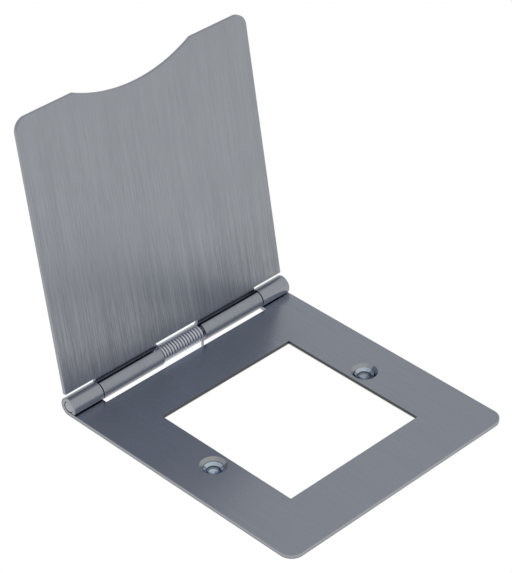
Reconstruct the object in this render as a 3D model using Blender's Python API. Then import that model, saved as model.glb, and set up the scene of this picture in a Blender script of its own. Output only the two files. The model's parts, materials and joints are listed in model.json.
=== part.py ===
"""Hinged desk grommet: a stainless plate around a square cable opening, with a sprung lid.

Metres, +Z up. The origin is the centre of the cable opening on the plate's underside.
+X runs along the hinge, the hinge is at +Y and the plate's free front edge at -Y.
The lid stands open past upright, as it does while cables are being threaded.
"""

import math

import bmesh
import bpy
from mathutils import Matrix, Vector

# Sheet and plate
SHEET = 0.0012
PLATE_WIDTH = 0.0854
OPENING = 0.0504
FRONT_EDGE_Y = -PLATE_WIDTH / 2
CORNER_RADIUS = 0.0040
CORNER_SEGMENTS = 8

# Hinge. The pin sits against the front and top of the rolled barrels
HINGE_Y = 0.04512
BARREL_RADIUS = 0.00295
BORE_RADIUS = BARREL_RADIUS - SHEET
HINGE_Z = BARREL_RADIUS
PIN_RADIUS = BORE_RADIUS - 0.00012
PIN_OFFSET = (0, -0.00006, 0.00006)
PIN_CHAMFER = 0.00015
PIN_SIDES = 60
ARC_STEP = math.radians(6)
NOTCH_FRONT_Y = 0.04125
PLATE_KNUCKLE_INNER_X = 0.0319
LID_KNUCKLE_OUTER_X = 0.03155
LID_KNUCKLE_INNER_X = 0.0083
PLATE_CURL_GAP = 0.0003

# Lid, measured from the hinge axis: along the sheet, and outwards from it
LID_LENGTH = 0.08818
LID_OUTER_OFFSET = 0.00136
LID_JOGGLE_RADIUS = 0.0020
LID_CURL_END_ANGLE = math.radians(-159)
LID_CUT_BACK = 0.00395
LID_OPEN_ANGLE = math.radians(100.3)
SCALLOP_DEPTH = 0.00495
SCALLOP_HALF_CHORD = 0.0218
SCALLOP_SIDES = 256

# Torsion spring. Its coil is loose on the pin and pushed up and back by its legs
WIRE_RADIUS = 0.00044
WIRE_SIDES = 8
COIL_RADIUS = 0.00232
COIL_OFFSET = (0, 0.00007, 0.00007)
COIL_LEFT_X = -0.00766
COIL_RIGHT_X = 0.0072
COIL_TURNS = 14.25
COIL_STEPS_PER_TURN = 20
BASE_LEG_DROP = HINGE_Z + COIL_OFFSET[2] + 0.0003 + WIRE_RADIUS
BASE_LEG_REACH = 0.0060
LID_LEG_OFFSET = LID_OUTER_OFFSET + 0.0003 + WIRE_RADIUS
LID_LEG_REACH = 0.0115
LEG_BEND_RADIUS = 0.0009
LEG_BEND_STEPS = 6

# Fixing screws and their countersinks
FIXING_CENTRES = 0.0603
FIXING_Y = -0.0004
COUNTERSINK_RADIUS = 0.0039
SCREW_HEAD_DEPTHS = {"left": 0.00098, "right": 0.00066}
SCREW_HEAD_RADIUS = 0.00286
SCREW_HEAD_HEIGHT = 0.00185
SCREW_RIM_WIDTH = 0.00008
SCREW_SIDE_GAP = 0.0003
SCREW_SHANK_RADIUS = 0.00160
SCREW_TIP_Z = -0.0032
SCREW_TIP_CHAMFER = 0.0004
SCREW_SIDES = 72
DISH_FOOT_RADIUS = 0.00214
DISH_DEPTH = 0.00085
RECESS_RADIUS = 0.00200
RECESS_LOBE = 0.00008
RECESS_LOBES = 6
RECESS_DEPTH = 0.00125
RECESS_CORE_RADIUS = 0.00135
RECESS_CORE_DEPTH = 0.00148
RECESS_POINT_RADIUS = 0.00020
RECESS_POINT_DEPTH = 0.00190

CUT_MARGIN = 0.001

COLOURS = {
    "base_plate": ((0.36, 0.38, 0.42), 0.34),
    "lid": ((0.46, 0.48, 0.50), 0.34),
    "hinge_pin": ((0.52, 0.54, 0.58), 0.30),
    "torsion_spring": ((0.42, 0.45, 0.52), 0.24),
    "fixing_screw_left": ((0.55, 0.61, 0.68), 0.26),
    "fixing_screw_right": ((0.55, 0.61, 0.68), 0.26),
}


def clear_scene():
    for obj in list(bpy.data.objects):
        bpy.data.objects.remove(obj, do_unlink=True)


def metal(name):
    """A metallic Principled material of the piece's own colour and roughness."""
    colour, roughness = COLOURS[name]
    material = bpy.data.materials.new(name)
    material.use_nodes = True
    shader = material.node_tree.nodes["Principled BSDF"]
    shader.inputs["Base Color"].default_value = (*colour, 1.0)
    shader.inputs["Roughness"].default_value = roughness
    shader.inputs["Metallic"].default_value = 1.0
    material.diffuse_color = (*colour, 1.0)
    return material


def add_object(name, bm, parent=None):
    """Put a bmesh in the scene as a named piece with its own material, shaded smooth."""
    bmesh.ops.recalc_face_normals(bm, faces=bm.faces)
    mesh = bpy.data.meshes.new(name)
    bm.to_mesh(mesh)
    bm.free()
    obj = bpy.data.objects.new(name, mesh)
    bpy.context.scene.collection.objects.link(obj)
    obj.data.materials.append(metal(name))
    obj.data.shade_smooth()
    obj.data.set_sharp_from_angle(angle=math.radians(30))
    obj.parent = parent
    return obj


def add_cutter(name, bm, parent=None):
    """A helper for a Boolean: wire in the viewport and never rendered."""
    bmesh.ops.recalc_face_normals(bm, faces=bm.faces)
    mesh = bpy.data.meshes.new(name)
    bm.to_mesh(mesh)
    bm.free()
    obj = bpy.data.objects.new(name, mesh)
    bpy.context.scene.collection.objects.link(obj)
    obj.display_type = "WIRE"
    obj.hide_render = True
    obj.parent = parent
    return obj


def cut(obj, cutter):
    modifier = obj.modifiers.new(cutter.name, "BOOLEAN")
    modifier.operation = "DIFFERENCE"
    modifier.solver = "EXACT"
    modifier.object = cutter


def box(low, high):
    bm = bmesh.new()
    size = [b - a for a, b in zip(low, high)]
    centre = [(a + b) / 2 for a, b in zip(low, high)]
    bmesh.ops.create_cube(bm, size=1.0, matrix=Matrix.Translation(centre) @ Matrix.Diagonal((*size, 1.0)))
    return bm


def arc(centre, radius, start, end):
    """Points round a circle in the YZ plane from one angle to the other, ends included."""
    steps = max(1, math.ceil(abs(end - start) / ARC_STEP))
    angles = [start + (end - start) * i / steps for i in range(steps + 1)]
    return [(centre[0] + radius * math.cos(a), centre[1] + radius * math.sin(a)) for a in angles]


def extrude_section(section):
    """A closed YZ outline extruded along X over the full width of the plate."""
    bm = bmesh.new()
    verts = [bm.verts.new((-PLATE_WIDTH / 2, y, z)) for y, z in section]
    face = bm.faces.new(verts)
    grown = bmesh.ops.extrude_face_region(bm, geom=[face])
    moved = [item for item in grown["geom"] if isinstance(item, bmesh.types.BMVert)]
    bmesh.ops.translate(bm, vec=(PLATE_WIDTH, 0, 0), verts=moved)
    return bm


def round_corners(bm, free_edge_y):
    """Round the two corners of a free edge, which are the short edges that run through the sheet there."""
    bm.normal_update()
    corners = [
        edge
        for edge in bm.edges
        if all(abs(v.co.y - free_edge_y) < 1e-7 for v in edge.verts)
        and abs(edge.verts[0].co.x - edge.verts[1].co.x) < 1e-7
    ]
    bmesh.ops.bevel(
        bm,
        geom=corners,
        offset=CORNER_RADIUS,
        offset_type="OFFSET",
        segments=CORNER_SEGMENTS,
        profile=0.5,
        affect="EDGES",
    )


def turned(profile, sides, centre=(0, 0), ripples=None):
    """A solid turned about the vertical through centre. The profile is (radius, z), from bottom to top.
    Ripples gives each ring's six-lobed wave, as the height of its lobes above the radius."""
    waves = ripples or [0] * len(profile)
    bm = bmesh.new()
    bottom = bm.verts.new((centre[0], centre[1], profile[0][1]))
    top = bm.verts.new((centre[0], centre[1], profile[-1][1]))
    rings = []
    for (radius, z), wave in zip(profile, waves):
        ring = []
        for i in range(sides):
            angle = 2 * math.pi * i / sides
            reach = radius + wave * math.cos(RECESS_LOBES * angle)
            x = centre[0] + reach * math.cos(angle)
            y = centre[1] + reach * math.sin(angle)
            ring.append(bm.verts.new((x, y, z)))
        rings.append(ring)
    for i in range(sides):
        j = (i + 1) % sides
        bm.faces.new((bottom, rings[0][j], rings[0][i]))
        bm.faces.new((top, rings[-1][i], rings[-1][j]))
        for low, high in zip(rings, rings[1:]):
            bm.faces.new((low[i], low[j], high[j], high[i]))
    return bm


def plate_section():
    """The plate's sheet lies flat, runs on under the hinge axis and rolls back, up and over to the front."""
    end_z = -BORE_RADIUS + PLATE_CURL_GAP
    start = -math.pi / 2
    outer_end = math.pi + math.asin(-end_z / BARREL_RADIUS)
    inner_end = math.pi + math.asin(-end_z / BORE_RADIUS)
    front = FRONT_EDGE_Y - HINGE_Y
    outline = [(front, -BARREL_RADIUS)]
    outline += arc((0, 0), BARREL_RADIUS, start, outer_end)
    outline += arc((0, 0), BORE_RADIUS, inner_end, start)
    outline += [(front, -BORE_RADIUS)]
    return [(y + HINGE_Y, z + HINGE_Z) for y, z in outline]


def base_plate():
    bm = extrude_section(plate_section())
    round_corners(bm, FRONT_EDGE_Y)
    plate = add_object("base_plate", bm)

    half = OPENING / 2
    opening = box((-half, -half, -CUT_MARGIN), (half, half, SHEET + CUT_MARGIN))
    cut(plate, add_cutter("cut_cable_opening", opening))

    notch_x = PLATE_KNUCKLE_INNER_X
    notch_high = (notch_x, HINGE_Y + 2 * BARREL_RADIUS, HINGE_Z + 2 * BARREL_RADIUS)
    notch = box((-notch_x, NOTCH_FRONT_Y, -CUT_MARGIN), notch_high)
    cut(plate, add_cutter("cut_hinge_notch", notch))

    for side, x in (("left", -FIXING_CENTRES / 2), ("right", FIXING_CENTRES / 2)):
        below = (COUNTERSINK_RADIUS - SHEET - CUT_MARGIN, -CUT_MARGIN)
        above = (COUNTERSINK_RADIUS + CUT_MARGIN, SHEET + CUT_MARGIN)
        cone = turned([below, above], SCREW_SIDES, (x, FIXING_Y))
        cut(plate, add_cutter("cut_countersink_" + side, cone))
    return plate


def lid_section():
    """The lid closed, hinge axis at the origin: a flat sheet, a joggle outwards, then a roll round the pin."""
    bend_centre_z = LID_OUTER_OFFSET + LID_JOGGLE_RADIUS
    bend_reach = BARREL_RADIUS + LID_JOGGLE_RADIUS
    bend_centre_y = -math.sqrt(bend_reach**2 - bend_centre_z**2)
    bend_centre = (bend_centre_y, bend_centre_z)
    towards_axis = math.atan2(-bend_centre_z, -bend_centre_y)
    roll_start = towards_axis + math.pi
    inner_offset = LID_OUTER_OFFSET - SHEET
    outline = [(-LID_LENGTH, LID_OUTER_OFFSET)]
    outline += arc(bend_centre, LID_JOGGLE_RADIUS, -math.pi / 2, towards_axis)
    outline += arc((0, 0), BARREL_RADIUS, roll_start, LID_CURL_END_ANGLE)[1:]
    outline += arc((0, 0), BORE_RADIUS, LID_CURL_END_ANGLE, roll_start)
    outline += arc(bend_centre, LID_JOGGLE_RADIUS + SHEET, towards_axis, -math.pi / 2)[1:]
    outline += [(-LID_LENGTH, inner_offset)]
    return outline


def scallop():
    """A tall cylinder whose side cuts a shallow finger scoop out of the lid's free edge."""
    radius = (SCALLOP_HALF_CHORD**2 + SCALLOP_DEPTH**2) / (2 * SCALLOP_DEPTH)
    centre_y = -LID_LENGTH + SCALLOP_DEPTH - radius
    profile = [(radius, -CUT_MARGIN), (radius, LID_OUTER_OFFSET + CUT_MARGIN)]
    return turned(profile, SCALLOP_SIDES, (0, centre_y))


def lid(hinge):
    bm = extrude_section(lid_section())
    round_corners(bm, -LID_LENGTH)
    flap = add_object("lid", bm, hinge)
    cut(flap, add_cutter("cut_scallop", scallop(), hinge))

    low, high = -2 * BARREL_RADIUS, 2 * BARREL_RADIUS
    side = PLATE_WIDTH / 2 + CUT_MARGIN
    gaps = {
        "left": (-side, -LID_KNUCKLE_OUTER_X),
        "middle": (-LID_KNUCKLE_INNER_X, LID_KNUCKLE_INNER_X),
        "right": (LID_KNUCKLE_OUTER_X, side),
    }
    for name, (x_low, x_high) in gaps.items():
        gap = box((x_low, -LID_CUT_BACK, low), (x_high, high, high))
        cut(flap, add_cutter("cut_knuckle_gap_" + name, gap, hinge))
    return flap


def hinge_pin(hinge):
    """A plain pin, as long as the plate is wide, with its ends just chamfered."""
    half = PLATE_WIDTH / 2
    end_radius = PIN_RADIUS - PIN_CHAMFER
    profile = [
        (end_radius, -half),
        (PIN_RADIUS, -half + PIN_CHAMFER),
        (PIN_RADIUS, half - PIN_CHAMFER),
        (end_radius, half),
    ]
    bm = turned(profile, PIN_SIDES)
    bmesh.ops.rotate(bm, cent=(0, 0, 0), matrix=Matrix.Rotation(math.pi / 2, 3, "Y"), verts=bm.verts)
    pin = add_object("hinge_pin", bm)
    pin.location = hinge.location + Vector(PIN_OFFSET)
    return pin


def bend(corner, before, after):
    """Points of a rounded corner between two directions of travel, in place of the sharp corner."""
    start = corner - before * LEG_BEND_RADIUS
    end = corner + after * LEG_BEND_RADIUS
    points = []
    for i in range(LEG_BEND_STEPS + 1):
        t = i / LEG_BEND_STEPS
        points.append(start * (1 - t) ** 2 + corner * 2 * t * (1 - t) + end * t**2)
    return points


def spring_route():
    """The wire's centre line, relative to the coil's axis: under the plate, round the coil, behind the lid."""
    forward, up, back = Vector((0, -1, 0)), Vector((0, 0, 1)), Vector((0, 1, 0))
    foot = Vector((COIL_RIGHT_X, -COIL_RADIUS, -BASE_LEG_DROP))
    route = [foot + forward * BASE_LEG_REACH]
    route += bend(foot, back, up)

    steps = round(COIL_TURNS * COIL_STEPS_PER_TURN)
    for i in range(steps + 1):
        angle = math.pi - 2 * math.pi * COIL_TURNS * i / steps
        x = COIL_RIGHT_X + (COIL_LEFT_X - COIL_RIGHT_X) * i / steps
        route.append(Vector((x, COIL_RADIUS * math.cos(angle), COIL_RADIUS * math.sin(angle))))

    lean = LID_OPEN_ANGLE - math.pi / 2
    along_lid = Vector((0, math.sin(lean), math.cos(lean)))
    off_lid = Vector((0, math.cos(lean), -math.sin(lean)))
    leave = route[-1]
    run = (LID_LEG_OFFSET - leave.dot(off_lid)) / back.dot(off_lid)
    corner = leave + back * run
    rise = LID_LEG_REACH - corner.dot(along_lid)
    route += bend(corner, back, along_lid)
    route.append(corner + along_lid * rise)
    return route


def tube(route, radius, sides):
    """A closed round wire along a route, its rings carried along without twist."""
    bm = bmesh.new()
    tangents = []
    for before, after in zip(route[:1] + route[:-1], route[1:] + route[-1:]):
        tangents.append((after - before).normalized())
    normal = Vector((1, 0, 0))
    rings = []
    for point, tangent in zip(route, tangents):
        normal = (normal - tangent * normal.dot(tangent)).normalized()
        side = tangent.cross(normal)
        ring = []
        for i in range(sides):
            angle = 2 * math.pi * i / sides
            ring.append(bm.verts.new(point + (normal * math.cos(angle) + side * math.sin(angle)) * radius))
        rings.append(ring)
    for ring, following in zip(rings, rings[1:]):
        for i in range(sides):
            j = (i + 1) % sides
            bm.faces.new((ring[i], ring[j], following[j], following[i]))
    bm.faces.new(rings[0])
    bm.faces.new(rings[-1])
    return bm


def torsion_spring(hinge):
    spring = add_object("torsion_spring", tube(spring_route(), WIRE_RADIUS, WIRE_SIDES))
    spring.location = hinge.location + Vector(COIL_OFFSET)
    return spring


def fixing_screw(side, x):
    """A countersunk screw below the plate's top face. Its head is dished down to a six-lobe recess."""
    head_z = SHEET - SCREW_HEAD_DEPTHS[side]
    seat_radius = COUNTERSINK_RADIUS - SHEET - SCREW_SIDE_GAP
    rim_radius = min(SCREW_HEAD_RADIUS, seat_radius + head_z - SCREW_RIM_WIDTH)
    under_z = head_z - SCREW_HEAD_HEIGHT
    shank = [
        (SCREW_SHANK_RADIUS - SCREW_TIP_CHAMFER, SCREW_TIP_Z),
        (SCREW_SHANK_RADIUS, SCREW_TIP_Z + SCREW_TIP_CHAMFER),
        (SCREW_SHANK_RADIUS, under_z),
    ]
    head = [
        (seat_radius, under_z),
        (seat_radius, 0),
        (rim_radius, rim_radius - seat_radius),
        (rim_radius, head_z),
        (rim_radius - SCREW_RIM_WIDTH, head_z),
    ]
    recess = [
        (DISH_FOOT_RADIUS, head_z - DISH_DEPTH),
        (RECESS_RADIUS, head_z - DISH_DEPTH),
        (RECESS_RADIUS, head_z - RECESS_DEPTH),
        (RECESS_CORE_RADIUS, head_z - RECESS_CORE_DEPTH),
        (RECESS_POINT_RADIUS, head_z - RECESS_POINT_DEPTH),
    ]
    ripples = [0] * (len(shank) + len(head) + 1) + [RECESS_LOBE, RECESS_LOBE, 0, 0]
    screw = add_object("fixing_screw_" + side, turned(shank + head + recess, SCREW_SIDES, ripples=ripples))
    screw.location = (x, FIXING_Y, 0)
    return screw


def lid_hinge():
    """The empty on the hinge axis that carries the lid. Zero turn is closed."""
    hinge = bpy.data.objects.new("lid_hinge", None)
    hinge.empty_display_size = 0.01
    hinge.location = (0, HINGE_Y, HINGE_Z)
    hinge.rotation_euler = (-LID_OPEN_ANGLE, 0, 0)
    bpy.context.scene.collection.objects.link(hinge)
    return hinge


def main():
    clear_scene()
    hinge = lid_hinge()
    base_plate()
    lid(hinge)
    hinge_pin(hinge)
    torsion_spring(hinge)
    fixing_screw("left", -FIXING_CENTRES / 2)
    fixing_screw("right", FIXING_CENTRES / 2)


main()
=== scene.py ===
"""The looks of the hinged desk grommet: brushed sheet metal, rolled knuckles, pin, spring and screws.

Metres, in the frame of the CAD part: the origin is the centre of the cable opening on the plate's
underside, +X runs along the hinge, the hinge is at +Y and +Z is up.
The plate and the lid are each one sheet, so both are drawn as a flat pattern and then bent.
"""

import json
import math

import bpy
from mathutils import Matrix, Vector
from mathutils.geometry import delaunay_2d_cdt


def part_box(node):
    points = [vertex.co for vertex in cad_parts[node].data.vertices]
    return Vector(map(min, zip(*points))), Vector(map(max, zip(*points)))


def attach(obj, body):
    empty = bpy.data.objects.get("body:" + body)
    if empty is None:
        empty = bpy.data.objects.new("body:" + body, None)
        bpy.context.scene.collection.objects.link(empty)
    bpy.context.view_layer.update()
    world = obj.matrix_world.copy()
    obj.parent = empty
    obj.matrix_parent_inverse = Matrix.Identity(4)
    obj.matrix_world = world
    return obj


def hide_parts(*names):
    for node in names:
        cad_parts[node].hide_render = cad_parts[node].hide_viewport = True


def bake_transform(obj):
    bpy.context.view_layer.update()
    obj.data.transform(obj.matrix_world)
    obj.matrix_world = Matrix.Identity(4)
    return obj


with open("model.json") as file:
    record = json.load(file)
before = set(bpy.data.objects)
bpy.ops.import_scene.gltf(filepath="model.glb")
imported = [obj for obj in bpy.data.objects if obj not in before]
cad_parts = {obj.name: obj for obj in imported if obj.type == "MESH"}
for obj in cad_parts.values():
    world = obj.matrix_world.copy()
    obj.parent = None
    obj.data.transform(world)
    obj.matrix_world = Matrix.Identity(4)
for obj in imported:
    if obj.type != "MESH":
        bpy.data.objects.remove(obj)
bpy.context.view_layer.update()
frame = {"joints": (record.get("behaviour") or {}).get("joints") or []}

MM_PER_M = 1000
TINY = 1e-8

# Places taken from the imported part
HINGE = Vector(frame["joints"][0]["pos_m"])
PLATE_LOW, PLATE_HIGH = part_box("base_plate")
PIN_LOW, PIN_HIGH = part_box("hinge_pin")
BARREL_RADIUS = HINGE.z
HALF_WIDTH = PLATE_HIGH.x
FRONT_Y = PLATE_LOW.y

# Sheet metal
SHEET = 0.0012
BORE_RADIUS = BARREL_RADIUS - SHEET
CORNER_RADIUS = 0.0040
CORNER_STEPS = 20
BEND_STEP = math.radians(3)
RIM_WIDTH = 0.00030
TOP_ROUND = 0.00009
BOTTOM_ROUND = 0.00006
ROUND_STEPS = 3
WALL_RINGS = (0.6, 0.42, 0.3)
SMOOTH_TURN = math.radians(30)

# Plate
OPENING = 0.0504
NOTCH_FRONT_Y = 0.04125
PLATE_KNUCKLE_INNER_X = 0.0319
PLATE_CURL_GAP = 0.0003
PLATE_MEAN_TURN = 4.9
PLATE_LARGEST_TURN = 5.0
FIXING_CENTRES = 0.0603
FIXING_Y = -0.0004
COUNTERSINK_RADIUS = 0.0039
COUNTERSINK_SIDES = 96
COUNTERSINK_RIM_ROUND = 0.00010
COUNTERSINK_FOOT_ROUND = 0.00003
COUNTERSINK_RINGS = (0.3, 0.6)

# Lid, measured closed from the hinge axis
LID_LENGTH = 0.08818
LID_OUTER_OFFSET = 0.00136
LID_INNER_OFFSET = LID_OUTER_OFFSET - SHEET
LID_JOGGLE_RADIUS = 0.0020
LID_CURL_END = math.radians(-159)
LID_CUT_BACK = 0.00395
LID_KNUCKLE_OUTER_X = 0.03155
LID_KNUCKLE_INNER_X = 0.0083
LID_OPEN_ANGLE = math.radians(100.3)
SCALLOP_DEPTH = 0.00495
SCALLOP_HALF_CHORD = 0.0218
SCALLOP_STEPS = 72

# Pin
PIN_CHAMFER = 0.00015
PIN_EDGE = 0.00004
PIN_DOME = 0.00003
PIN_DOME_RINGS = (0.15, 0.4, 0.7, 1.0)
PIN_BODY_RINGS = (-0.02, 0.0, 0.02)
PIN_SIDES = 96
PIN_SHARP_TURN = math.radians(50)

# Torsion spring
WIRE_RADIUS = 0.00044
WIRE_SIDES = 16
COIL_RADIUS = 0.00232
COIL_OFFSET = Vector((0, 0.00007, 0.00007))
COIL_LEFT_X = -0.00766
COIL_RIGHT_X = 0.0072
COIL_TURNS = 14.25
COIL_STEPS_PER_TURN = 48
LEG_GAP = 0.0003
BASE_LEG_DROP = BARREL_RADIUS + COIL_OFFSET.z + LEG_GAP + WIRE_RADIUS
BASE_LEG_REACH = 0.0060
LID_LEG_OFFSET = LID_OUTER_OFFSET + LEG_GAP + WIRE_RADIUS
LID_LEG_REACH = 0.0115
LEG_BEND_RADIUS = 0.0009
LEG_BEND_STEPS = 10
WIRE_END_ROUND = 0.00012
WIRE_SHARP_TURN = math.radians(40)

# Fixing screws
SCREW_HEAD_DEPTHS = {"left": 0.00098, "right": 0.00066}
SCREW_HEAD_RADIUS = 0.00286
SCREW_BODY_RADIUS = 0.00280
SCREW_BODY_DROP = 0.00185
SCREW_SEAT_GAP = 0.00004
SCREW_EDGE = 0.00008
SCREW_SIDES = 144
DISH_RADIUS = 0.00278
DISH_FOOT_RADIUS = 0.00214
DISH_DEPTH = 0.00085
RECESS_LOBES = 6
RECESS_RADIUS = 0.00200
RECESS_LOBE = 0.00008
RECESS_DEPTH = 0.00125
POINT_RADIUS = 0.00135
POINT_RIM_DEPTH = 0.00148
POINT_DEPTH = 0.00198
# Painted shade on each screw's recess floor
POINT_PAINTED_SHADE = {"left": 0.0, "right": 0.35}
SHANK_RADIUS = 0.00160
THREAD_DEPTH = 0.00028
THREAD_PITCH = 0.00080
THREAD_STEEPNESS = 3.2
THREAD_ROWS = 48
SCREW_TIP_Z = -0.0032
SCREW_TIP_CHAMFER = 0.0004

# Colours of the metals
PLATE_STEEL = (0.352, 0.383, 0.478)
LID_STEEL = (0.343, 0.373, 0.465)
EDGE_STEEL = (0.385, 0.41, 0.51)
PLATE_TORN_STEEL = (0.32, 0.335, 0.395)
LID_TORN_STEEL = (0.39, 0.415, 0.51)
# Painted highlight and painted shadow line for the cable opening's wall
PAINTED_WALL_HIGHLIGHT = (0.90, 0.93, 1.0)
PAINTED_WALL_SHADOW = (0.085, 0.089, 0.109)
BORED_STEEL = (0.375, 0.395, 0.455)
# Painted shade at the foot of the countersink wall
BORE_PAINTED_SHADE = (0.06, 0.065, 0.08)
PIN_LIGHT = (0.475, 0.505, 0.61)
PIN_DARK = (0.395, 0.425, 0.525)
SPRING_LIGHT = (0.59, 0.62, 0.75)
SPRING_DARK = (0.50, 0.53, 0.65)
ZINC_LIGHT = (0.53, 0.63, 0.81)
ZINC_DARK = (0.45, 0.545, 0.72)
# Colour of the painted shade in the screws' recess and on their seat
PAINTED_SHADE_COLOUR = (0.055, 0.069, 0.105)

# Brushed finish, with places measured along a sheet's flat pattern
COARSE_FROM = -0.065
COARSE_TO = 0.010
# Band near the hinge where the brushing turns coarser and the lid gets painted shade
COARSE_AND_SHADE_FROM = -0.027
COARSE_AND_SHADE_TO = -0.011
ROLL_FADE = 0.001
BRUSH_ANISOTROPY = 0.55

# Camera and stage
CAMERA_PLACE = Vector((-0.395953, -0.384969, 0.434312))
CAMERA_HEADING = math.radians(44.8232)
CAMERA_ELEVATION = math.radians(35.1337)
CAMERA_LENS = 157.13
CAMERA_SENSOR = 36.0
FLOOR_Z = -0.00325
FLOOR_RADIUS = 4.0
FLOOR_SIDES = 128
FLOOR_GLOW = (0.87, 0.84, 0.73)
FLOOR_EVEN_REACH = 0.45
MIRRORED_REACH = 1.6
MIRRORED_LOW = 0.80
DIRECT_REACH = 3.0
DIRECT_LOW = 0.63
SHADE_REACH = 0.11
SHADE_LEVELS = (0.94, 0.99)
WARM_SIDE = Vector((0.2, -0.75, 0.6))
ROOM_WARM = (0.76, 0.74, 0.645)
ROOM_COOL = (0.605, 0.602, 0.553)
ROOM_RAMP = (0.15, 0.80)


# Materials ---------------------------------------------------------------------------------------


class Nodes:
    """A short way to write a material's node tree."""

    def __init__(self, name):
        self.material = bpy.data.materials.new(name)
        self.material.use_nodes = True
        self.tree = self.material.node_tree
        self.shader = self.tree.nodes["Principled BSDF"]

    def add(self, kind, **settings):
        node = self.tree.nodes.new(kind)
        for key, value in settings.items():
            setattr(node, key, value)
        return node

    def put(self, value, socket):
        """A number, a colour or another node's output goes into a socket."""
        if isinstance(value, bpy.types.NodeSocket):
            self.tree.links.new(value, socket)
        else:
            socket.default_value = value

    def math(self, operation, first, second=0.0, third=0.0, clamp=False):
        node = self.add("ShaderNodeMath", operation=operation, use_clamp=clamp)
        for value, socket in zip((first, second, third), node.inputs):
            self.put(value, socket)
        return node.outputs[0]

    def attribute(self, name):
        return self.add("ShaderNodeAttribute", attribute_name=name).outputs["Fac"]

    def mix(self, share, first, second):
        node = self.add("ShaderNodeMix", data_type="RGBA")
        self.put(share, node.inputs["Factor"])
        for value, socket in ((first, node.inputs[6]), (second, node.inputs[7])):
            self.put((*value, 1.0) if isinstance(value, tuple) else value, socket)
        return node.outputs[2]

    def remap(self, value, low, high, to_low, to_high):
        node = self.add("ShaderNodeMapRange")
        for item, socket in zip((value, low, high, to_low, to_high), node.inputs):
            self.put(item, socket)
        return node.outputs[0]

    def noise(self, vector, scale, stretch=(1, 1, 1), detail=3.0, roughness=0.55):
        """Noise from 0 to 1, about scale cells to the millimetre before it is stretched."""
        mapping = self.add("ShaderNodeMapping")
        self.put(vector, mapping.inputs["Vector"])
        mapping.inputs["Scale"].default_value = [MM_PER_M * scale * s for s in stretch]
        texture = self.add("ShaderNodeTexNoise")
        self.put(mapping.outputs[0], texture.inputs["Vector"])
        texture.inputs["Scale"].default_value = 1.0
        texture.inputs["Detail"].default_value = detail
        texture.inputs["Roughness"].default_value = roughness
        return texture.outputs["Fac"]

    def bump(self, height, distance, normal=None):
        node = self.add("ShaderNodeBump")
        self.put(height, node.inputs["Height"])
        node.inputs["Distance"].default_value = distance
        if normal:
            self.put(normal, node.inputs["Normal"])
        return node.outputs[0]

    def grain(self):
        return self.add("ShaderNodeUVMap", uv_map="grain").outputs[0]


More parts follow.
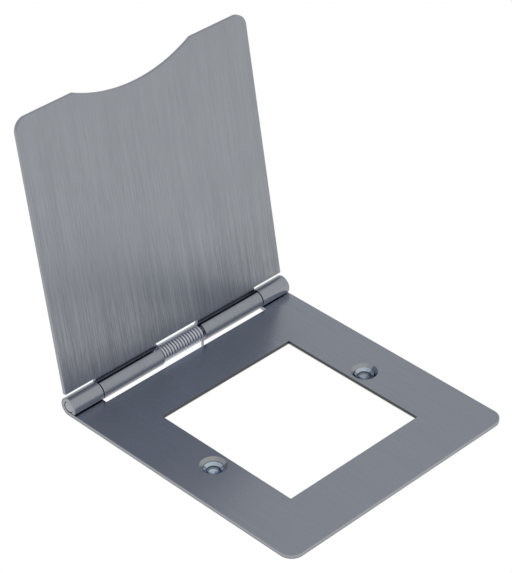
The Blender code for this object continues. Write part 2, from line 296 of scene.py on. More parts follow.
def brushed_metal(name, face, edge, torn, roughness, contrast, relief, coarse, hinge_shade, roll_v):
    """Sheet brushed along the grain map's second axis.

    The brushing is coarser by up to the factor coarse towards the hinge and -X, and darkened by a
    share of painted shade close to the hinge. The roll, from roll_v on, is neither. A sheared edge is
    torn at the foot. The opening's wall gets a painted shadow line under its rim and a painted
    highlight below it. A bored wall is smooth, with painted shade at its foot.
    """
    n = Nodes(name)
    grain = n.grain()
    spread = n.add("ShaderNodeSeparateXYZ")
    n.put(grain, spread.inputs[0])
    across, along = spread.outputs["X"], spread.outputs["Y"]
    unrolled = n.remap(along, roll_v, roll_v + ROLL_FADE, 1.0, 0.0)
    near_hinge = n.math("MULTIPLY", n.remap(along, COARSE_AND_SHADE_FROM, COARSE_AND_SHADE_TO, 0.0, 1.0), unrolled)
    slanted = n.math("MULTIPLY_ADD", across, -0.5, along)
    corner_share = n.remap(slanted, COARSE_FROM, COARSE_TO, 0.0, 0.5)
    corner_share = n.math("MULTIPLY", corner_share, unrolled)
    strength = n.math("MULTIPLY_ADD", near_hinge, 0.5, corner_share)
    strength = n.math("MULTIPLY_ADD", strength, 1 - 1 / coarse, 1 / coarse)
    hairs = n.noise(grain, 6.0, (1, 0.010, 1), detail=2.0, roughness=0.7)
    streaks = n.noise(grain, 3.0, (1, 0.008, 1), detail=3.0, roughness=0.85)
    dashes = n.noise(grain, 3.4, (1, 0.06, 1), detail=2.0, roughness=0.6)
    bands = n.noise(grain, 0.22, (1, 0.06, 1), detail=2.0)
    handling = n.noise(grain, 0.06, detail=3.0)

    wall = n.attribute("wall")
    rim = n.attribute("rim")
    depth = n.attribute("depth")
    painted_wall_light = n.attribute("painted_wall_light")
    bored = n.attribute("bored")

    tone = n.math("MULTIPLY_ADD", streaks, 0.62, n.math("MULTIPLY", dashes, 0.23))
    tone = n.math("MULTIPLY_ADD", bands, 0.15, tone)
    dull = tuple(c * (1 - contrast * coarse) for c in face)
    bright = tuple(c * (1 + contrast * coarse) for c in face)
    swing = n.math("MULTIPLY", n.remap(tone, 0.36, 0.64, -0.5, 0.5), strength)
    colour = n.mix(n.math("ADD", swing, 0.5, clamp=True), dull, bright)
    # Painted shade: the lid is darkened close to the hinge
    colour = n.mix(n.math("MULTIPLY", near_hinge, hinge_shade), colour, (0.0, 0.0, 0.0))
    worn = n.math("MULTIPLY", rim, n.remap(dashes, 0.45, 0.75, 0.0, 0.5), clamp=True)
    colour = n.mix(worn, colour, edge)
    fracture = n.remap(depth, 0.30, 0.42, 1.0, 0.0)
    wall_colour = n.mix(fracture, edge, torn)
    # Painted shadow line under the opening's rim, painted highlight below it
    painted_wall_shading = n.mix(n.remap(depth, 0.20, 0.26, 0.0, 1.0), PAINTED_WALL_HIGHLIGHT, PAINTED_WALL_SHADOW)
    wall_colour = n.mix(painted_wall_light, wall_colour, painted_wall_shading)
    # Painted shade: the countersink wall darkens towards its foot, where the screw head sits close
    bore_colour = n.mix(n.remap(depth, 0.08, 0.36, 1.0, 0.0), BORED_STEEL, BORE_PAINTED_SHADE)
    wall_colour = n.mix(bored, wall_colour, bore_colour)
    colour = n.mix(wall, colour, wall_colour)
    n.put(colour, n.shader.inputs["Base Color"])

    rough = n.remap(tone, 0.35, 0.65, roughness + 0.5 * contrast, roughness - 0.5 * contrast)
    rough = n.math("ADD", rough, n.remap(handling, 0.35, 0.65, -0.02, 0.03))
    torn_wall = n.math("MULTIPLY", wall, n.math("MULTIPLY", fracture, n.math("SUBTRACT", 1.0, bored)))
    rough = n.math("MULTIPLY_ADD", torn_wall, 0.12, rough)
    rough = n.math("MULTIPLY_ADD", n.math("MULTIPLY", wall, bored), -0.12, rough)
    n.put(rough, n.shader.inputs["Roughness"])

    height = n.math("MULTIPLY_ADD", streaks, 0.8, n.math("MULTIPLY", hairs, 0.5))
    lines = n.bump(n.math("MULTIPLY", height, n.math("SUBTRACT", 1.0, wall)), relief)
    n.put(n.bump(dashes, relief / 2, lines), n.shader.inputs["Normal"])

    n.shader.inputs["Metallic"].default_value = 1.0
    n.shader.inputs["Anisotropic"].default_value = BRUSH_ANISOTROPY
    tangent = n.add("ShaderNodeTangent", direction_type="UV_MAP", uv_map="grain")
    n.put(tangent.outputs[0], n.shader.inputs["Tangent"])
    return n.material


def drawn_metal(name, light, dark, roughness, along):
    """Round steel with fine draw marks, stretched by 1 / along on the grain map's second axis."""
    n = Nodes(name)
    grain = n.grain()
    marks = n.noise(grain, 7.0, (1, along, 1), detail=3.0)
    clouds = n.noise(grain, 0.5, (1, 0.4, 1), detail=2.0)
    tone = n.math("MULTIPLY_ADD", marks, 0.6, n.math("MULTIPLY", clouds, 0.4))
    n.put(n.mix(n.remap(tone, 0.3, 0.7, 0.0, 1.0), dark, light), n.shader.inputs["Base Color"])
    n.put(n.remap(marks, 0.3, 0.7, roughness - 0.05, roughness + 0.05), n.shader.inputs["Roughness"])
    n.put(n.bump(marks, 0.000004), n.shader.inputs["Normal"])
    n.shader.inputs["Metallic"].default_value = 1.0
    return n.material


def plated_metal(name, light, dark, painted_shade, roughness):
    """Bright zinc plating: a faint mottle, marks turned round the axis, and painted shade where the mesh
    marks it.
    """
    n = Nodes(name)
    grain = n.grain()
    spot = n.add("ShaderNodeTexCoord").outputs["Object"]
    mottle = n.noise(spot, 1.6, detail=4.0)
    turned_marks = n.noise(grain, 6.0, (0.15, 1, 1), detail=2.0)
    colour = n.mix(n.remap(mottle, 0.35, 0.65, 0.0, 1.0), dark, light)
    n.put(n.mix(n.attribute("painted_shade"), colour, painted_shade), n.shader.inputs["Base Color"])
    n.put(n.remap(mottle, 0.3, 0.7, roughness - 0.04, roughness + 0.06), n.shader.inputs["Roughness"])
    marks = n.bump(turned_marks, 0.000003)
    n.put(n.bump(mottle, 0.000004, marks), n.shader.inputs["Normal"])
    n.shader.inputs["Metallic"].default_value = 1.0
    return n.material


# Sheet pieces ------------------------------------------------------------------------------------


def rounding(centre_inset, centre_t, radius, start, end):
    """Rings of a rounded edge, each (inset into the sheet, height, lean of its normal from outward)."""
    rings = []
    for i in range(ROUND_STEPS + 1):
        lean = start + (end - start) * i / ROUND_STEPS
        inset = centre_inset - radius * math.cos(lean)
        rings.append((inset, centre_t + radius * math.sin(lean), lean))
    return rings


def sheared_profile():
    """A punched edge from the top face's rim down to the underside."""
    up, down = math.pi / 2, -math.pi / 2
    rings = [(RIM_WIDTH, SHEET, up)]
    rings += rounding(TOP_ROUND, SHEET - TOP_ROUND, TOP_ROUND, up, 0)
    rings += [(0, SHEET * share, 0) for share in WALL_RINGS]
    rings += rounding(BOTTOM_ROUND, BOTTOM_ROUND, BOTTOM_ROUND, 0, down)
    rings.append((RIM_WIDTH, 0, down))
    return rings


def countersunk_profile():
    """A 90 degree countersink from its rounded rim down to a thin edge at the underside."""
    up, down, slope = math.pi / 2, -math.pi / 2, math.pi / 4
    reach = 1 / math.sqrt(2)
    rim, foot = COUNTERSINK_RIM_ROUND, COUNTERSINK_FOOT_ROUND
    rings = [(RIM_WIDTH, SHEET, up)]
    rings += rounding((2 * reach - 1) * rim, SHEET - rim, rim, up, slope)
    rings += [(-share * SHEET, (1 - share) * SHEET, slope) for share in COUNTERSINK_RINGS]
    rings += rounding(-SHEET + (1 + 2 * reach) * foot, foot, foot, slope, down)
    return rings


def corner(centre, radius, start, end, steps):
    """Points of an arc in the flat pattern, ends included."""
    angles = [start + (end - start) * i / steps for i in range(steps + 1)]
    return [(centre[0] + radius * math.cos(a), centre[1] + radius * math.sin(a)) for a in angles]


def split_at(points, lines):
    """The closed outline with a point added wherever a side of constant u crosses a bend line."""
    result = []
    for (u, v), (next_u, next_v) in zip(points, points[1:] + points[:1]):
        result.append((u, v))
        if abs(u - next_u) > TINY:
            continue
        between = [line for line in lines if min(v, next_v) + TINY < line < max(v, next_v) - TINY]
        result += [(u, line) for line in sorted(between, reverse=next_v < v)]
    return result


def side_normals(points):
    """For each side of a closed outline with the sheet on its left, the direction out of the sheet."""
    found = []
    for (u, v), (next_u, next_v) in zip(points, points[1:] + points[:1]):
        found.append(Vector((next_v - v, u - next_u)).normalized())
    return found


def inside(point, outlines):
    """Whether a point of the flat pattern is on the sheet, by the even-odd rule over all outlines."""
    u, v = point
    crossings = 0
    for outline in outlines:
        for (u0, v0), (u1, v1) in zip(outline, outline[1:] + outline[:1]):
            if (v0 > v) != (v1 > v) and u < u0 + (v - v0) * (u1 - u0) / (v1 - v0):
                crossings += 1
    return crossings % 2 == 1


def fill(outlines, lines):
    """Triangles between the outlines, as indices into their joined points. Bend lines stay edges."""
    points, edges = [], []
    for outline in outlines:
        first = len(points)
        count = len(outline)
        points += outline
        edges += [(first + i, first + (i + 1) % count) for i in range(count)]
    for line in lines:
        on_line = sorted((p[0], i) for i, p in enumerate(points) if abs(p[1] - line) < TINY)
        for (u, i), (next_u, j) in zip(on_line, on_line[1:]):
            if inside(((u + next_u) / 2, line + TINY), outlines):
                edges.append((i, j))
    scaled = [Vector((MM_PER_M * u, MM_PER_M * v)) for u, v in points]
    _, _, faces, origins, _, _ = delaunay_2d_cdt(scaled, edges, [], 0, 1e-5)
    kept = []
    for face in faces:
        corners = [origins[i][0] for i in face]
        centre = [sum(points[i][axis] for i in corners) / 3 for axis in (0, 1)]
        if inside(centre, outlines):
            kept.append(corners)
    return kept


class Sheet:
    """A sheet's mesh, made from outlines in its flat pattern and a function that bends them."""

    def __init__(self, bend, lines):
        self.bend = bend
        self.lines = lines
        self.verts = []
        self.marks = []
        self.flat = []
        self.faces = []
        self.normals = []
        self.top = []
        self.bottom = []

    def directions(self, u, v, t):
        """The bent sheet's directions along v and up through its thickness. Both stay square to X."""
        step = 1e-6
        along = (self.bend(u, v + step, t) - self.bend(u, v - step, t)).normalized()
        return along, Vector((1, 0, 0)).cross(along)

    def normal_at(self, index, outward, lean):
        along, through = self.directions(*self.flat[index])
        flat_part = Vector((outward.x, 0, 0)) + along * outward.y
        return (flat_part * math.cos(lean) + through * math.sin(lean)).normalized()

    def add_point(self, u, v, t, wall, rim, finish):
        self.verts.append(self.bend(u, v, t))
        self.flat.append((u, v, t))
        self.marks.append((wall, rim, t / SHEET, *finish))
        return len(self.verts) - 1

    def add_outline(self, points, profile, painted_wall_light=0.0, bored=0.0):
        """The walls and rounded edges along one outline."""
        points = split_at(points, self.lines)
        normals = side_normals(points)
        count = len(points)
        rings, outlines = [], []
        for inset, t, lean in profile:
            ring, outline = [], []
            for i, (u, v) in enumerate(points):
                before, after = normals[i - 1], normals[i]
                mitre = (before + after).normalized()
                reach = inset / mitre.dot(after)
                place = (u - mitre.x * reach, v - mitre.y * reach)
                wall = 0.0 if abs(lean) > math.radians(89) else 1.0
                rim = 0.0 if inset >= RIM_WIDTH else 1.0
                ring.append(self.add_point(*place, t, wall, rim, (painted_wall_light, bored)))
                outline.append(place)
            rings.append(ring)
            outlines.append(outline)
        for k in range(len(rings) - 1):
            for i in range(count):
                j = (i + 1) % count
                face = (rings[k][i], rings[k + 1][i], rings[k + 1][j], rings[k][j])
                leans = (profile[k][2], profile[k + 1][2], profile[k + 1][2], profile[k][2])
                corner_normals = []
                for index, at, lean in zip(face, (i, i, j, j), leans):
                    neighbour = normals[i - 1] if at == i else normals[(i + 1) % count]
                    outward = normals[i]
                    if outward.angle(neighbour) < SMOOTH_TURN:
                        outward = (outward + neighbour).normalized()
                    corner_normals.append(self.normal_at(index, outward, lean))
                self.faces.append(face)
                self.normals += corner_normals
        self.top.append((rings[0], outlines[0]))
        self.bottom.append((rings[-1], outlines[-1]))

    def close(self):
        """Fill the top face and the underside."""
        for rings, turn in ((self.top, 1), (self.bottom, -1)):
            indices = [index for ring, _ in rings for index in ring]
            for corners in fill([outline for _, outline in rings], self.lines):
                face = [indices[i] for i in corners][::turn]
                self.faces.append(face)
                self.normals += [self.directions(*self.flat[i])[1] * turn for i in face]

    def piece(self, name, material):
        mesh = bpy.data.meshes.new(name)
        mesh.from_pydata(self.verts, [], self.faces)
        for column, attribute in enumerate(("wall", "rim", "depth", "painted_wall_light", "bored")):
            layer = mesh.attributes.new(attribute, "FLOAT", "POINT")
            layer.data.foreach_set("value", [mark[column] for mark in self.marks])
        grain = mesh.uv_layers.new(name="grain")
        for loop in mesh.loops:
            u, v, t = self.flat[loop.vertex_index]
            grain.data[loop.index].uv = (u + t, v)
        mesh.shade_smooth()
        mesh.normals_split_custom_set(self.normals)
        return add_piece(name, mesh, material)


def add_piece(name, mesh, material):
    obj = bpy.data.objects.new(name, mesh)
    bpy.context.scene.collection.objects.link(obj)
    obj.data.materials.append(material)
    return obj


# Plate and lid -----------------------------------------------------------------------------------

PLATE_ROLL_START = -math.pi / 2
PLATE_ROLL_LENGTH = PLATE_MEAN_TURN * (BARREL_RADIUS + BORE_RADIUS) / 2
PLATE_END_V = HINGE.y + PLATE_ROLL_LENGTH

JOGGLE_REACH = BARREL_RADIUS + LID_JOGGLE_RADIUS
JOGGLE_Z = LID_OUTER_OFFSET + LID_JOGGLE_RADIUS
JOGGLE_Y = -math.sqrt(JOGGLE_REACH**2 - JOGGLE_Z**2)
JOGGLE_END = math.atan2(-JOGGLE_Z, -JOGGLE_Y)
JOGGLE_LENGTH = (JOGGLE_END + math.pi / 2) * (LID_JOGGLE_RADIUS + SHEET / 2)
LID_ROLL_START = JOGGLE_END + math.pi
LID_ROLL_V = JOGGLE_Y + JOGGLE_LENGTH
LID_ROLL_LENGTH = (LID_ROLL_START - LID_CURL_END) * (BARREL_RADIUS + BORE_RADIUS) / 2
LID_END_V = LID_ROLL_V + LID_ROLL_LENGTH
OPEN_TURN = Matrix.Rotation(-LID_OPEN_ANGLE, 3, "X")


def bend_lines(start, end, turn):
    """Places along a bend, evenly spaced, both ends included."""
    steps = math.ceil(abs(turn) / BEND_STEP)
    return [start + (end - start) * i / steps for i in range(steps + 1)]


def bend_plate(u, v, t):
    """From the plate's flat pattern to its place, with its end rolled back over the pin."""
    if v <= HINGE.y:
        return Vector((u, v, t))
    radius = BARREL_RADIUS - t
    end = math.pi + math.asin((BORE_RADIUS - PLATE_CURL_GAP) / radius)
    angle = PLATE_ROLL_START + (end - PLATE_ROLL_START) * (v - HINGE.y) / PLATE_ROLL_LENGTH
    return Vector((u, HINGE.y + radius * math.cos(angle), HINGE.z + radius * math.sin(angle)))


def bend_lid(u, v, t):
    """From the lid's flat pattern to its open place: flat, a joggle outwards, a roll round the pin."""
    if v <= JOGGLE_Y:
        y, z = v, LID_INNER_OFFSET + t
    elif v <= LID_ROLL_V:
        radius = LID_JOGGLE_RADIUS + SHEET - t
        angle = -math.pi / 2 + (JOGGLE_END + math.pi / 2) * (v - JOGGLE_Y) / JOGGLE_LENGTH
        y, z = JOGGLE_Y + radius * math.cos(angle), JOGGLE_Z + radius * math.sin(angle)
    else:
        radius = BORE_RADIUS + t
        angle = LID_ROLL_START + (LID_CURL_END - LID_ROLL_START) * (v - LID_ROLL_V) / LID_ROLL_LENGTH
        y, z = radius * math.cos(angle), radius * math.sin(angle)
    return HINGE + OPEN_TURN @ Vector((u, y, z))


def plate_outline():
    """The plate's flat pattern: two rounded front corners, and a notch between two strips to roll."""
    radius, inner = CORNER_RADIUS, PLATE_KNUCKLE_INNER_X
    left, right, front = -HALF_WIDTH + radius, HALF_WIDTH - radius, FRONT_Y + radius
    points = corner((left, front), radius, math.pi, 1.5 * math.pi, CORNER_STEPS)
    points += corner((right, front), radius, 1.5 * math.pi, 2 * math.pi, CORNER_STEPS)
    points += [(HALF_WIDTH, PLATE_END_V), (inner, PLATE_END_V), (inner, NOTCH_FRONT_Y)]
    points += [(-inner, NOTCH_FRONT_Y), (-inner, PLATE_END_V), (-HALF_WIDTH, PLATE_END_V)]
    return points


def make_plate(material):
    sheet = Sheet(bend_plate, bend_lines(HINGE.y, PLATE_END_V, PLATE_LARGEST_TURN))
    sheet.add_outline(plate_outline(), sheared_profile())
    half = OPENING / 2
    opening = [(-half, -half), (-half, half), (half, half), (half, -half)]
    # The opening's wall gets the painted highlight and painted shadow line
    sheet.add_outline(opening, sheared_profile(), painted_wall_light=1.0)
    for x in (-FIXING_CENTRES / 2, FIXING_CENTRES / 2):
        hole = corner((x, FIXING_Y), COUNTERSINK_RADIUS, 0, -2 * math.pi, COUNTERSINK_SIDES)[:-1]
        sheet.add_outline(hole, countersunk_profile(), bored=1.0)
    sheet.close()
    return sheet.piece("plate_sheet", material)


def lid_outline():
    """The lid's flat pattern: a scoop between two rounded corners, and two strips to roll."""
    radius = CORNER_RADIUS
    left, right, front = -HALF_WIDTH + radius, HALF_WIDTH - radius, -LID_LENGTH + radius
    scoop = (SCALLOP_HALF_CHORD**2 + SCALLOP_DEPTH**2) / (2 * SCALLOP_DEPTH)
    scoop_half = math.asin(SCALLOP_HALF_CHORD / scoop)
    scoop_centre = (0, -LID_LENGTH + SCALLOP_DEPTH - scoop)
    top = math.pi / 2
    points = corner((left, front), radius, math.pi, 1.5 * math.pi, CORNER_STEPS)
    points += corner(scoop_centre, scoop, top + scoop_half, top - scoop_half, SCALLOP_STEPS)
    points += corner((right, front), radius, 1.5 * math.pi, 2 * math.pi, CORNER_STEPS)
    outer, inner, cut = LID_KNUCKLE_OUTER_X, LID_KNUCKLE_INNER_X, -LID_CUT_BACK
    end = LID_END_V
    points += [(HALF_WIDTH, cut), (outer, cut), (outer, end), (inner, end), (inner, cut)]
    points += [(-inner, cut), (-inner, end), (-outer, end), (-outer, cut), (-HALF_WIDTH, cut)]
    return points


def make_lid(material):
    lines = bend_lines(JOGGLE_Y, LID_ROLL_V, JOGGLE_END + math.pi / 2)
    lines += bend_lines(LID_ROLL_V, LID_END_V, LID_ROLL_START - LID_CURL_END)[1:]
    sheet = Sheet(bend_lid, lines)
    sheet.add_outline(lid_outline(), sheared_profile())
    sheet.close()
    return sheet.piece("lid_sheet", material)


# Round pieces ------------------------------------------------------------------------------------


def lofted(name, rings, heights, material, sharp=SMOOTH_TURN):
    """A closed solid through rings of points, capped at both ends, each at its height on the grain map."""
    mesh = bpy.data.meshes.new(name)
    sides = len(rings[0])
    verts = [point for ring in rings for point in ring]
    faces, uvs = [], []
    for k in range(len(rings) - 1):
        for i in range(sides):
            j = (i + 1) % sides
            low, high = k * sides, (k + 1) * sides
            faces.append((low + i, low + j, high + j, high + i))
            uvs += [(i, k), (i + 1, k), (i + 1, k + 1), (i, k + 1)]
    faces.append(tuple(range(sides))[::-1])
    uvs += [(i, 0) for i in range(sides)][::-1]
    top = (len(rings) - 1) * sides
    faces.append(tuple(range(top, top + sides)))
    uvs += [(i, len(rings) - 1) for i in range(sides)]
    mesh.from_pydata(verts, [], faces)
    layer = mesh.uv_layers.new(name="grain")
    girth = sum((a - b).length for a, b in zip(rings[0], rings[0][1:] + rings[0][:1]))
    for data, (across, ring) in zip(layer.data, uvs):
        data.uv = (girth * across / sides, heights[ring])
    mesh.shade_smooth()
    mesh.set_sharp_from_angle(angle=sharp)
    return add_piece(name, mesh, material)


def lengths_along(points):
    """The distance travelled to each point of a path."""
    found = [0.0]
    for before, after in zip(points, points[1:]):
        found.append(found[-1] + (after - before).length)
    return found


def ring_about(centre, across, up, radius, sides, wave=0.0):
    """A ring of points round a centre. A wave makes it six-lobed."""
    ring = []
    for i in range(sides):
        angle = 2 * math.pi * i / sides
        reach = radius + wave * math.cos(RECESS_LOBES * angle)
        ring.append(centre + (across * math.cos(angle) + up * math.sin(angle)) * reach)
    return ring


def make_pin(material):
    """A plain pin with chamfered, slightly domed ends."""
    centre = (PIN_LOW + PIN_HIGH) / 2
    radius = (PIN_HIGH.z - PIN_LOW.z) / 2
    half = (PIN_HIGH.x - PIN_LOW.x) / 2
    flat = radius - PIN_CHAMFER
    ends = [(flat * share, half - PIN_DOME * share**2) for share in PIN_DOME_RINGS]
    ends += [(radius - PIN_EDGE, half - PIN_CHAMFER), (radius, half - PIN_CHAMFER - PIN_EDGE)]
    profile = [(r, -x) for r, x in ends] + [(radius, x) for x in PIN_BODY_RINGS] + ends[::-1]
    rings = []
    for r, x in profile:
        place = centre + Vector((x, 0, 0))
        rings.append(ring_about(place, Vector((0, 1, 0)), Vector((0, 0, 1)), r, PIN_SIDES))
    heights = lengths_along([Vector((r, x)) for r, x in profile])
    return lofted("pin_rod", rings, heights, material, PIN_SHARP_TURN)


def bend_wire(turn, before, after):
    """Points of a rounded bend between two directions of travel."""
    start, end = turn - before * LEG_BEND_RADIUS, turn + after * LEG_BEND_RADIUS
    shares = [i / LEG_BEND_STEPS for i in range(LEG_BEND_STEPS + 1)]
    return [start * (1 - s) ** 2 + turn * 2 * s * (1 - s) + end * s**2 for s in shares]


def spring_route():
    """The wire's line about the coil's axis: under the plate, round the coil, up behind the lid."""
    forward, up, back = Vector((0, -1, 0)), Vector((0, 0, 1)), Vector((0, 1, 0))
    foot = Vector((COIL_RIGHT_X, -COIL_RADIUS, -BASE_LEG_DROP))
    route = [foot + forward * BASE_LEG_REACH] + bend_wire(foot, back, up)
    steps = round(COIL_TURNS * COIL_STEPS_PER_TURN)
    for i in range(steps + 1):
        angle = math.pi - 2 * math.pi * COIL_TURNS * i / steps
        x = COIL_RIGHT_X + (COIL_LEFT_X - COIL_RIGHT_X) * i / steps
        route.append(Vector((x, COIL_RADIUS * math.cos(angle), COIL_RADIUS * math.sin(angle))))
    lean = LID_OPEN_ANGLE - math.pi / 2
    along_lid = Vector((0, math.sin(lean), math.cos(lean)))
    off_lid = Vector((0, math.cos(lean), -math.sin(lean)))
    leave = route[-1]
    turn = leave + back * (LID_LEG_OFFSET - leave.dot(off_lid)) / back.dot(off_lid)
    rise = LID_LEG_REACH - turn.dot(along_lid)
    return route + bend_wire(turn, back, along_lid) + [turn + along_lid * rise]


def make_spring(material):
    """The wire as a round tube, its ring carried along without twist and its two ends just rounded."""
    route = [HINGE + COIL_OFFSET + point for point in spring_route()]
    for end, nearer in ((0, 1), (-1, -2)):
        inwards = (route[nearer] - route[end]).normalized() * WIRE_END_ROUND
        route.insert(1 if end == 0 else len(route) - 1, route[end] + inwards)
    normal = Vector((1, 0, 0))
    rings = []
    for i, point in enumerate(route):
        tangent = (route[min(i + 1, len(route) - 1)] - route[max(i - 1, 0)]).normalized()
        normal = (normal - tangent * normal.dot(tangent)).normalized()
        at_end = i in (0, len(route) - 1)
        radius = WIRE_RADIUS - (WIRE_END_ROUND if at_end else 0)
        rings.append(ring_about(point, normal, tangent.cross(normal), radius, WIRE_SIDES))
    return lofted("spring_wire", rings, lengths_along(route), material, WIRE_SHARP_TURN)


def thread_reach(z, angle):
    """How far the thread stands out from its root, 0 to 1, on a right-hand helix."""
    turn = (z / THREAD_PITCH - angle / (2 * math.pi)) % 1.0
    return max(0.0, 1 - abs(turn - 0.5) * THREAD_STEEPNESS)


def make_screw(side, x, material):
    """A countersunk screw: a threaded shank, and a dished head with a six-lobe recess."""
    head_z = SHEET - SCREW_HEAD_DEPTHS[side]
    foot_z = head_z - SCREW_BODY_DROP
    seat_radius = COUNTERSINK_RADIUS - SHEET - SCREW_SEAT_GAP
    neck_z = foot_z - (seat_radius - SHANK_RADIUS) / 3
    across, up = Vector((1, 0, 0)), Vector((0, 1, 0))
    rings, heights, painted_shade = [], [0.0], []

    def add_ring(radius, z, wave=0.0, shade_amount=0.0):
        rings.append(ring_about(Vector((x, FIXING_Y, z)), across, up, radius, SCREW_SIDES, wave))
        painted_shade.extend([shade_amount] * SCREW_SIDES)

    add_ring(SHANK_RADIUS - SCREW_TIP_CHAMFER, SCREW_TIP_Z)
    low_z = SCREW_TIP_Z + SCREW_TIP_CHAMFER / 2
    for row in range(THREAD_ROWS + 1):
        z = low_z + (neck_z - low_z) * row / THREAD_ROWS
        run_out = max(0.0, (neck_z - z) / THREAD_PITCH * 2)
        fade = min(1.0, (z - SCREW_TIP_Z) / SCREW_TIP_CHAMFER, run_out)
        ring = []
        for i in range(SCREW_SIDES):
            angle = 2 * math.pi * i / SCREW_SIDES
            reach = SHANK_RADIUS - THREAD_DEPTH * (1 - fade * thread_reach(z, angle))
            ring.append(Vector((x + reach * math.cos(angle), FIXING_Y + reach * math.sin(angle), z)))
        rings.append(ring)
        painted_shade.extend([0.0] * SCREW_SIDES)
    soft = SCREW_EDGE
    # The last number of each ring is its share of painted shade, darkest on the seat and in the recess
    for radius, z, shade_amount in (
        (seat_radius - soft, foot_z, 0.0),
        (seat_radius, foot_z + soft, 0.0),
        (seat_radius, 0.0, 0.6),
        (SCREW_BODY_RADIUS, SCREW_BODY_RADIUS - seat_radius, 0.95),
        (SCREW_HEAD_RADIUS, head_z - soft, 0.95),
        (SCREW_HEAD_RADIUS - soft * 0.3, head_z - soft * 0.3, 0.4),
        (SCREW_HEAD_RADIUS - soft * 0.7, head_z, 0.0),
        (DISH_RADIUS, head_z - soft * 0.3, 0.0),
        (DISH_FOOT_RADIUS + soft, head_z - DISH_DEPTH + soft, 0.0),
    ):
        add_ring(radius, z, shade_amount=shade_amount)
    for radius, drop, wave, shade_amount in (
        (DISH_FOOT_RADIUS, DISH_DEPTH, 0.3, 0.0),
        (DISH_FOOT_RADIUS - soft * 0.5, DISH_DEPTH + soft * 0.3, 0.5, 1.0),
        (RECESS_RADIUS, DISH_DEPTH + 2.5 * soft, 1.0, 1.0),
        (RECESS_RADIUS - 2 * soft, RECESS_DEPTH - soft, 1.0, 0.85),
        (RECESS_RADIUS - 4 * soft, RECESS_DEPTH, 1.0, 0.65),
        (POINT_RADIUS + soft, POINT_RIM_DEPTH - soft, 0.0, 0.70),
        (POINT_RADIUS, POINT_RIM_DEPTH, 0.0, POINT_PAINTED_SHADE[side]),
        (POINT_RADIUS * 0.5, (POINT_RIM_DEPTH + POINT_DEPTH) / 2, 0.0, POINT_PAINTED_SHADE[side]),
        (POINT_RADIUS * 0.1, POINT_DEPTH, 0.0, POINT_PAINTED_SHADE[side]),
    ):
        add_ring(radius, head_z - drop, RECESS_LOBE * wave, shade_amount)
    for before, after in zip(rings, rings[1:]):
        heights.append(heights[-1] + (after[0] - before[0]).length)
    screw = lofted("screw_" + side, rings, heights, material)
    # Painted shade, ring by ring
    layer = screw.data.attributes.new("painted_shade", "FLOAT", "POINT")
    layer.data.foreach_set("value", painted_shade)
    return screw


# Stage -------------------------------------------------------------------------------------------


def make_floor():
    """A pale floor, evenly white around the object and falling away to the brightness of the room.

    The metal sees it a little dimmer than the camera does, with a painted shadow close under the object.
    """
    ground = Vector((0, 0, FLOOR_Z))
    bpy.ops.mesh.primitive_circle_add(
        vertices=FLOOR_SIDES, radius=FLOOR_RADIUS, fill_type="NGON", location=ground
    )
    floor = bpy.context.object
    floor.name = "studio_floor"
    n = Nodes("pale_floor")
    spot = n.add("ShaderNodeTexCoord").outputs["Object"]
    distance = n.add("ShaderNodeVectorMath", operation="LENGTH")
    n.put(spot, distance.inputs[0])
    away = distance.outputs["Value"]
    # Painted shadow close under the object, seen only in reflections
    shaded = n.remap(away, 0.0, SHADE_REACH, *SHADE_LEVELS)
    faded = n.remap(away, FLOOR_EVEN_REACH, MIRRORED_REACH, 1.0, MIRRORED_LOW)
    mirrored = n.math("MULTIPLY", faded, shaded)
    direct = n.remap(away, FLOOR_EVEN_REACH, DIRECT_REACH, 1.0, DIRECT_LOW)
    seen = n.add("ShaderNodeLightPath").outputs["Is Camera Ray"]
    level = n.math("MULTIPLY_ADD", n.math("SUBTRACT", direct, mirrored), seen, mirrored)
    n.shader.inputs["Base Color"].default_value = (0.0, 0.0, 0.0, 1.0)
    n.shader.inputs["Specular IOR Level"].default_value = 0.0
    n.put(n.mix(seen, FLOOR_GLOW, (1.0, 1.0, 1.0)), n.shader.inputs["Emission Color"])
    n.put(level, n.shader.inputs["Emission Strength"])
    floor.data.materials.append(n.material)


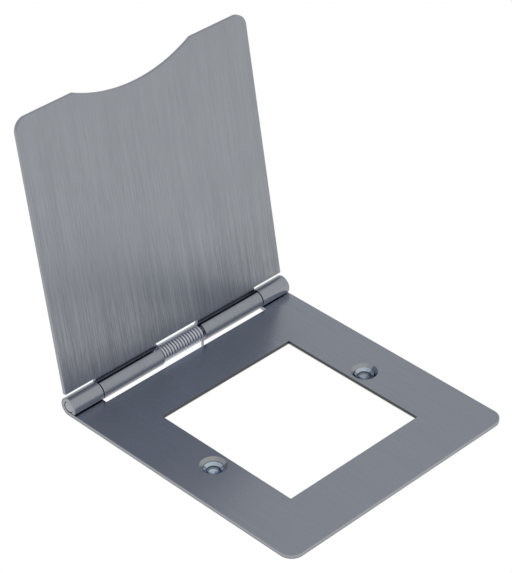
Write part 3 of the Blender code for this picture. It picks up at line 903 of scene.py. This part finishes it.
def make_room():
    """A soft even room, a little cooler behind the object and a little brighter in front of it."""
    world = bpy.data.worlds.new("studio")
    world.use_nodes = True
    nodes, links = world.node_tree.nodes, world.node_tree.links
    heading = nodes.new("ShaderNodeTexCoord")
    towards = nodes.new("ShaderNodeVectorMath")
    towards.operation = "DOT_PRODUCT"
    towards.inputs[1].default_value = WARM_SIDE.normalized()
    links.new(heading.outputs["Generated"], towards.inputs[0])
    ramp = nodes.new("ShaderNodeValToRGB")
    ramp.color_ramp.interpolation = "EASE"
    for element, position, colour in zip(ramp.color_ramp.elements, ROOM_RAMP, (ROOM_COOL, ROOM_WARM)):
        element.position = position
        element.color = (*colour, 1.0)
    links.new(towards.outputs["Value"], ramp.inputs["Fac"])
    links.new(ramp.outputs["Color"], nodes["Background"].inputs["Color"])
    bpy.context.scene.world = world


def make_camera():
    data = bpy.data.cameras.new("camera")
    data.lens = CAMERA_LENS
    data.sensor_width = CAMERA_SENSOR
    data.clip_start = 0.01
    data.clip_end = 20.0
    camera = bpy.data.objects.new("camera", data)
    camera.location = CAMERA_PLACE
    camera.rotation_euler = (math.pi / 2 - CAMERA_ELEVATION, 0, -CAMERA_HEADING)
    bpy.context.scene.collection.objects.link(camera)
    bpy.context.scene.camera = camera


# Assembly ----------------------------------------------------------------------------------------


def place(obj, body, node, slot):
    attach(obj, body)
    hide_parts(node)


def main():
    plate_metal = brushed_metal(
        "brushed_plate", PLATE_STEEL, EDGE_STEEL, PLATE_TORN_STEEL,
        roughness=0.28, contrast=0.04, relief=0.000005, coarse=1.5, hinge_shade=0.0, roll_v=HINGE.y,
    )
    # The lid is given painted shade near the hinge
    lid_metal = brushed_metal(
        "brushed_lid", LID_STEEL, EDGE_STEEL, LID_TORN_STEEL,
        roughness=0.35, contrast=0.085, relief=0.000020, coarse=5.0, hinge_shade=0.11, roll_v=LID_ROLL_V,
    )
    pin_metal = drawn_metal("pin_steel", PIN_LIGHT, PIN_DARK, roughness=0.28, along=0.02)
    spring_metal = drawn_metal("spring_steel", SPRING_LIGHT, SPRING_DARK, roughness=0.30, along=0.02)
    zinc = plated_metal("zinc_plated", ZINC_LIGHT, ZINC_DARK, PAINTED_SHADE_COLOUR, roughness=0.14)

    place(make_plate(plate_metal), "base", "base_plate", "brushed_plate")
    place(make_lid(lid_metal), "lid", "lid", "brushed_lid")
    place(make_pin(pin_metal), "base", "hinge_pin", "pin_steel")
    for side, x in (("left", -FIXING_CENTRES / 2), ("right", FIXING_CENTRES / 2)):
        place(make_screw(side, x, zinc), "base", "fixing_screw_" + side, "zinc_plated")

    spring = make_spring(spring_metal)
    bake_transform(spring)
    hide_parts("torsion_spring")

    make_floor()
    make_room()
    make_camera()
    bpy.context.scene.view_settings.view_transform = "Standard"


main()
